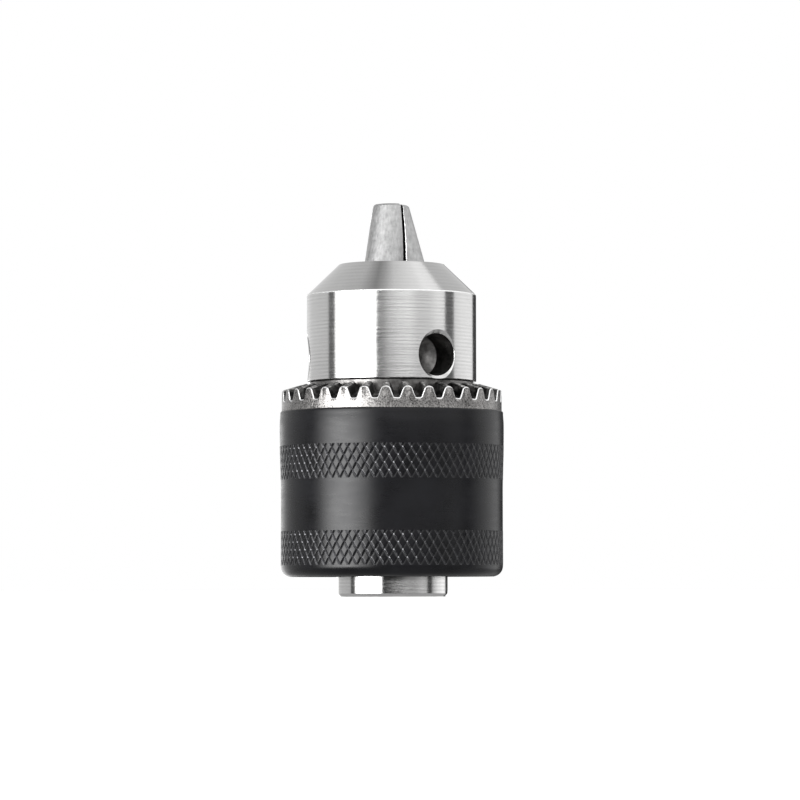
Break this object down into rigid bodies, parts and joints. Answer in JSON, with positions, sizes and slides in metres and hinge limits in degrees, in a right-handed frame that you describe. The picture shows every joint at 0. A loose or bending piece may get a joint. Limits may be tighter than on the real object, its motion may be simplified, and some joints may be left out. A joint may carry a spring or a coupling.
{
  "type": "drill chuck",
  "caption": "Keyed three-jaw drill chuck: bright steel body with a conical nose, black knurled sleeve with a crown of bevel teeth, round inclined jaws and a split nut.",
  "frame": {"origin": "centre of the rear collar's end face, on the spindle axis", "axes": "+Z along the spindle axis from the spindle towards the jaws; +X along the first jaw's azimuth"},
  "size_m": [0.043, 0.043, 0.0755],
  "materials": {
    "bright_steel": "fine turned, bright",
    "black_steel": "black oxide, satin, knurled",
    "nut_steel": "machined, oiled",
    "jaw_steel": "ground, hardened"
  },
  "bodies": {
    "body": {"chuck_body": "bright_steel"},
    "sleeve": {"knurled_sleeve": "black_steel", "nut_half_a": "nut_steel", "nut_half_b": "nut_steel"},
    "first_jaw": {"jaw_1": "jaw_steel"},
    "second_jaw": {"jaw_2": "jaw_steel"},
    "third_jaw": {"jaw_3": "jaw_steel"}
  },
  "joints": [
    {"name": "sleeve_turn", "type": "hinge", "parent": "body", "child": "sleeve", "pos_m": [0, 0, 0.032], "axis": [0, 0, 1], "range_deg": [0, 4290]},
    {"name": "jaw_1_slide", "type": "slide", "parent": "body", "child": "first_jaw", "axis": [0.2672, 0, -0.9636], "range_m": [0, 0.0215]},
    {"name": "jaw_2_slide", "type": "slide", "parent": "body", "child": "second_jaw", "axis": [-0.1336, 0.2314, -0.9636], "range_m": [0, 0.0215]},
    {"name": "jaw_3_slide", "type": "slide", "parent": "body", "child": "third_jaw", "axis": [-0.1336, -0.2314, -0.9636], "range_m": [0, 0.0215]}
  ],
  "couplings": [
    {"joint": "jaw_1_slide", "follows": "sleeve_turn", "m_per_rad": 0.00028648},
    {"joint": "jaw_2_slide", "follows": "sleeve_turn", "m_per_rad": 0.00028648},
    {"joint": "jaw_3_slide", "follows": "sleeve_turn", "m_per_rad": 0.00028648}
  ]
}
